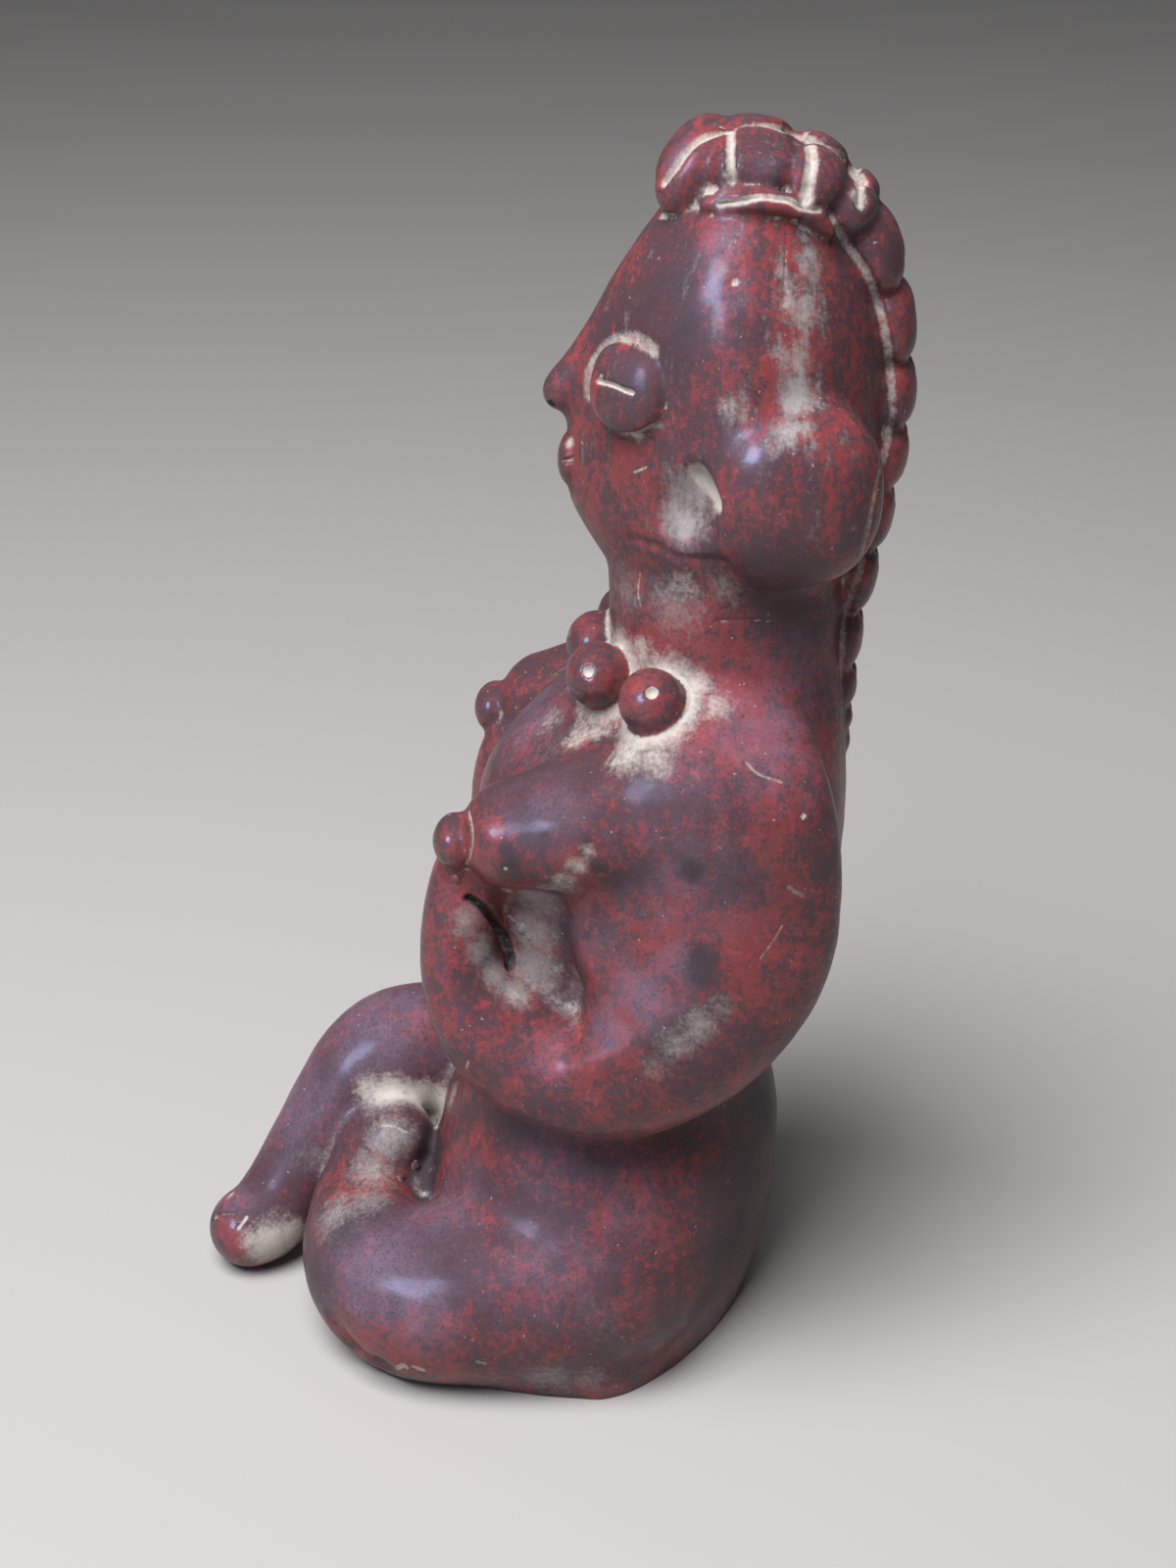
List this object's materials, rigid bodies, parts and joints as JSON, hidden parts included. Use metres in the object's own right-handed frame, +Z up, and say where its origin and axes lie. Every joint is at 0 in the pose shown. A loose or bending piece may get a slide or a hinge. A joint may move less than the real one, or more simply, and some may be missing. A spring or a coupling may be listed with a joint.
{
  "type": "terracotta female statuette",
  "caption": "Seated female figure of burnished red terracotta with crossed legs, hands at the breasts, a bead necklace and a plaited crest running down the back.",
  "frame": {"origin": "on the flat underside, below the middle of the hips", "axes": "+Z up, -Y the way the figure faces, +X towards the figure's left hand"},
  "size_m": [0.1107, 0.1616, 0.2828],
  "materials": {
    "terracotta": "burnished red-brown terracotta, satin, mottled with dark purplish grey, with pale dust in the creases"
  },
  "bodies": {
    "root": {"statuette": "terracotta"}
  },
  "joints": []
}
